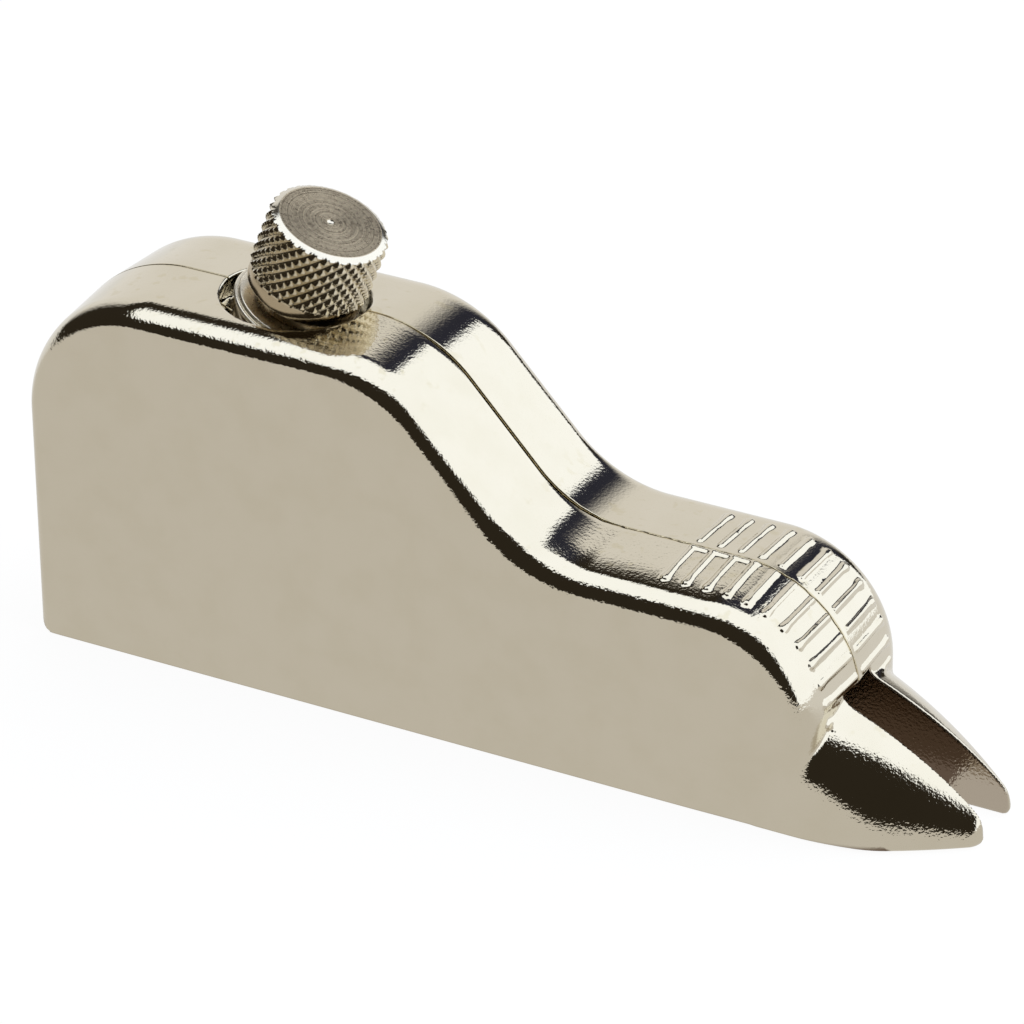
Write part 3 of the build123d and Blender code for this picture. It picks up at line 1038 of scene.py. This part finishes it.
def studio_floor():
    """Pale floor: white to the camera with a faint shadow, and mirrored in the metal as a lit sweep."""
    front_pale, back_pale, shaded = rgb(0.74, 0.72, 0.69), rgb(0.9, 0.9, 0.9), rgb(0.21, 0.165, 0.14)
    corners = np.array([(-1, -1, 0), (1, -1, 0), (1, 1, 0), (-1, 1, 0)]) * floor_reach
    floor = mesh_object("studio_floor", corners, [(0, 1, 2, 3)], shade_smooth=False)
    material = bpy.data.materials.new("studio_floor")
    material.use_nodes = True
    graph = Graph(material.node_tree)
    path = graph.node("ShaderNodeLightPath")
    place = graph.node("ShaderNodeNewGeometry").outputs["Position"]
    parts = graph.split(place)
    lit = graph.mix(graph.ramp(parts["Y"], *floor_behind), front_pale, back_pale)
    in_width = graph.ramp(graph.math("ABSOLUTE", parts["Y"]), *shade_half)
    from_front = graph.ramp(parts["X"], *shade_front)
    from_rear = graph.ramp(parts["X"], *shade_rear)
    lit = graph.mix(graph.times(in_width, from_front, from_rear), lit, shaded)
    mirrored = graph.node("ShaderNodeEmission", {"Color": lit})
    shown = graph.node("ShaderNodeEmission", {"Color": rgb(1, 1, 1), "Strength": floor_glow})
    diffuse = graph.node("ShaderNodeBsdfDiffuse", {"Color": rgb(floor_grey, floor_grey, floor_grey)})
    pale = graph.node("ShaderNodeAddShader", {0: shown.outputs[0], 1: diffuse.outputs[0]})
    by_ray = graph.node(
        "ShaderNodeMixShader",
        {0: path.outputs["Is Camera Ray"], 1: mirrored.outputs[0], 2: pale.outputs[0]},
    )
    graph.node("ShaderNodeOutputMaterial", {"Surface": by_ray.outputs[0]})
    floor.data.materials.append(material)


def card(graph, azimuth, elevation, limits):
    """Share of a soft-edged card in a direction."""
    turns = [math.radians(value) for value in limits]
    start, start_edge, end, end_edge, low, low_edge, high, high_edge = turns
    return graph.times(
        graph.ramp(azimuth, start - start_edge, start + start_edge),
        graph.ramp(azimuth, end + end_edge, end - end_edge),
        graph.ramp(elevation, low - low_edge, low + low_edge),
        graph.ramp(elevation, high + high_edge, high - high_edge),
    )


def studio_light():
    """World of soft cards: a backdrop behind on the left, a tall box on the right and one overhead."""
    box_white, backdrop_pale = rgb(1.42, 1.5, 1.62), rgb(0.94, 0.93, 0.915)
    dark, gap_blue = rgb(0.032, 0.026, 0.018), rgb(0.032, 0.034, 0.054)
    world = bpy.data.worlds.new("studio")
    world.use_nodes = True
    bpy.context.scene.world = world
    graph = Graph(world.node_tree)
    direction = graph.node("ShaderNodeTexCoord").outputs["Generated"]
    x, y, z = graph.split(direction)
    azimuth = graph.math("ARCTAN2", y, x)
    elevation = graph.math("ARCSINE", z)
    fall = graph.times(graph.ramp(azimuth, *backdrop_fall_from), backdrop_fall)
    backdrop = card(graph, azimuth, graph.math("ADD", elevation, fall), backdrop_card)
    right_box = card(graph, azimuth, elevation, right_card)
    height = graph.math("MAXIMUM", z, overhead_least_height)
    over_x = graph.math("DIVIDE", x, height)
    over_y = graph.math("DIVIDE", y, height)
    near_edge = graph.math("SUBTRACT", over_y, graph.times(over_x, overhead_near_lean))
    to_right = graph.times(graph.ramp(over_x, *overhead_fall_from), overhead_fall)
    back_edge = graph.math("ADD", elevation, to_right)
    overhead = graph.times(graph.ramp(near_edge, *overhead_near), graph.ramp(back_edge, *overhead_back))
    lit = graph.mix(card(graph, azimuth, elevation, gap_card), dark, gap_blue)
    lit = graph.mix(backdrop, lit, backdrop_pale)
    lit = graph.mix(right_box, lit, box_white)
    lit = graph.mix(overhead, lit, box_white)
    path = graph.node("ShaderNodeLightPath")
    lit = graph.mix(path.outputs["Is Camera Ray"], lit, rgb(1, 1, 1))
    background = graph.node("ShaderNodeBackground", {"Color": lit})
    graph.node("ShaderNodeOutputWorld", {"Surface": background.outputs[0]})


def photo_camera():
    """Camera at the photograph's place, with its slight roll."""
    back = Vector((
        math.sin(camera_azimuth) * math.cos(camera_elevation),
        -math.cos(camera_azimuth) * math.cos(camera_elevation),
        math.sin(camera_elevation),
    ))
    level_right = Vector((math.cos(camera_azimuth), math.sin(camera_azimuth), 0))
    level_up = back.cross(level_right)
    right = level_right * math.cos(camera_roll) + level_up * math.sin(camera_roll)
    up = level_up * math.cos(camera_roll) - level_right * math.sin(camera_roll)
    data = bpy.data.cameras.new("camera")
    data.sensor_width = camera_sensor
    data.lens = camera_lens
    data.clip_start = camera_clip
    camera = bpy.data.objects.new("camera", data)
    turn = Matrix((right, up, back)).transposed().to_4x4()
    camera.matrix_world = Matrix.Translation(camera_target + back * camera_distance) @ turn
    bpy.context.scene.collection.objects.link(camera)
    bpy.context.scene.camera = camera


nickel = casting_nickel()
dress(body_half("right_half", -1, "right_body"), nickel)
dress(body_half("left_half", 1, "left_body"), nickel)
dress(thumb_screw(), turned_nickel())
dress(flat_washer(), washer_plating())
dress(clamp_spring(), spring_steel())
bare_steel = plain_steel()
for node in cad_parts:
    if node.startswith(("body_screw", "dowel_pin", "square_nut", "pressure_pad")):
        redress(node, bare_steel)
redress("blade", blade_steel())
studio_floor()
studio_light()
photo_camera()
bpy.context.scene.view_settings.view_transform = "Standard"
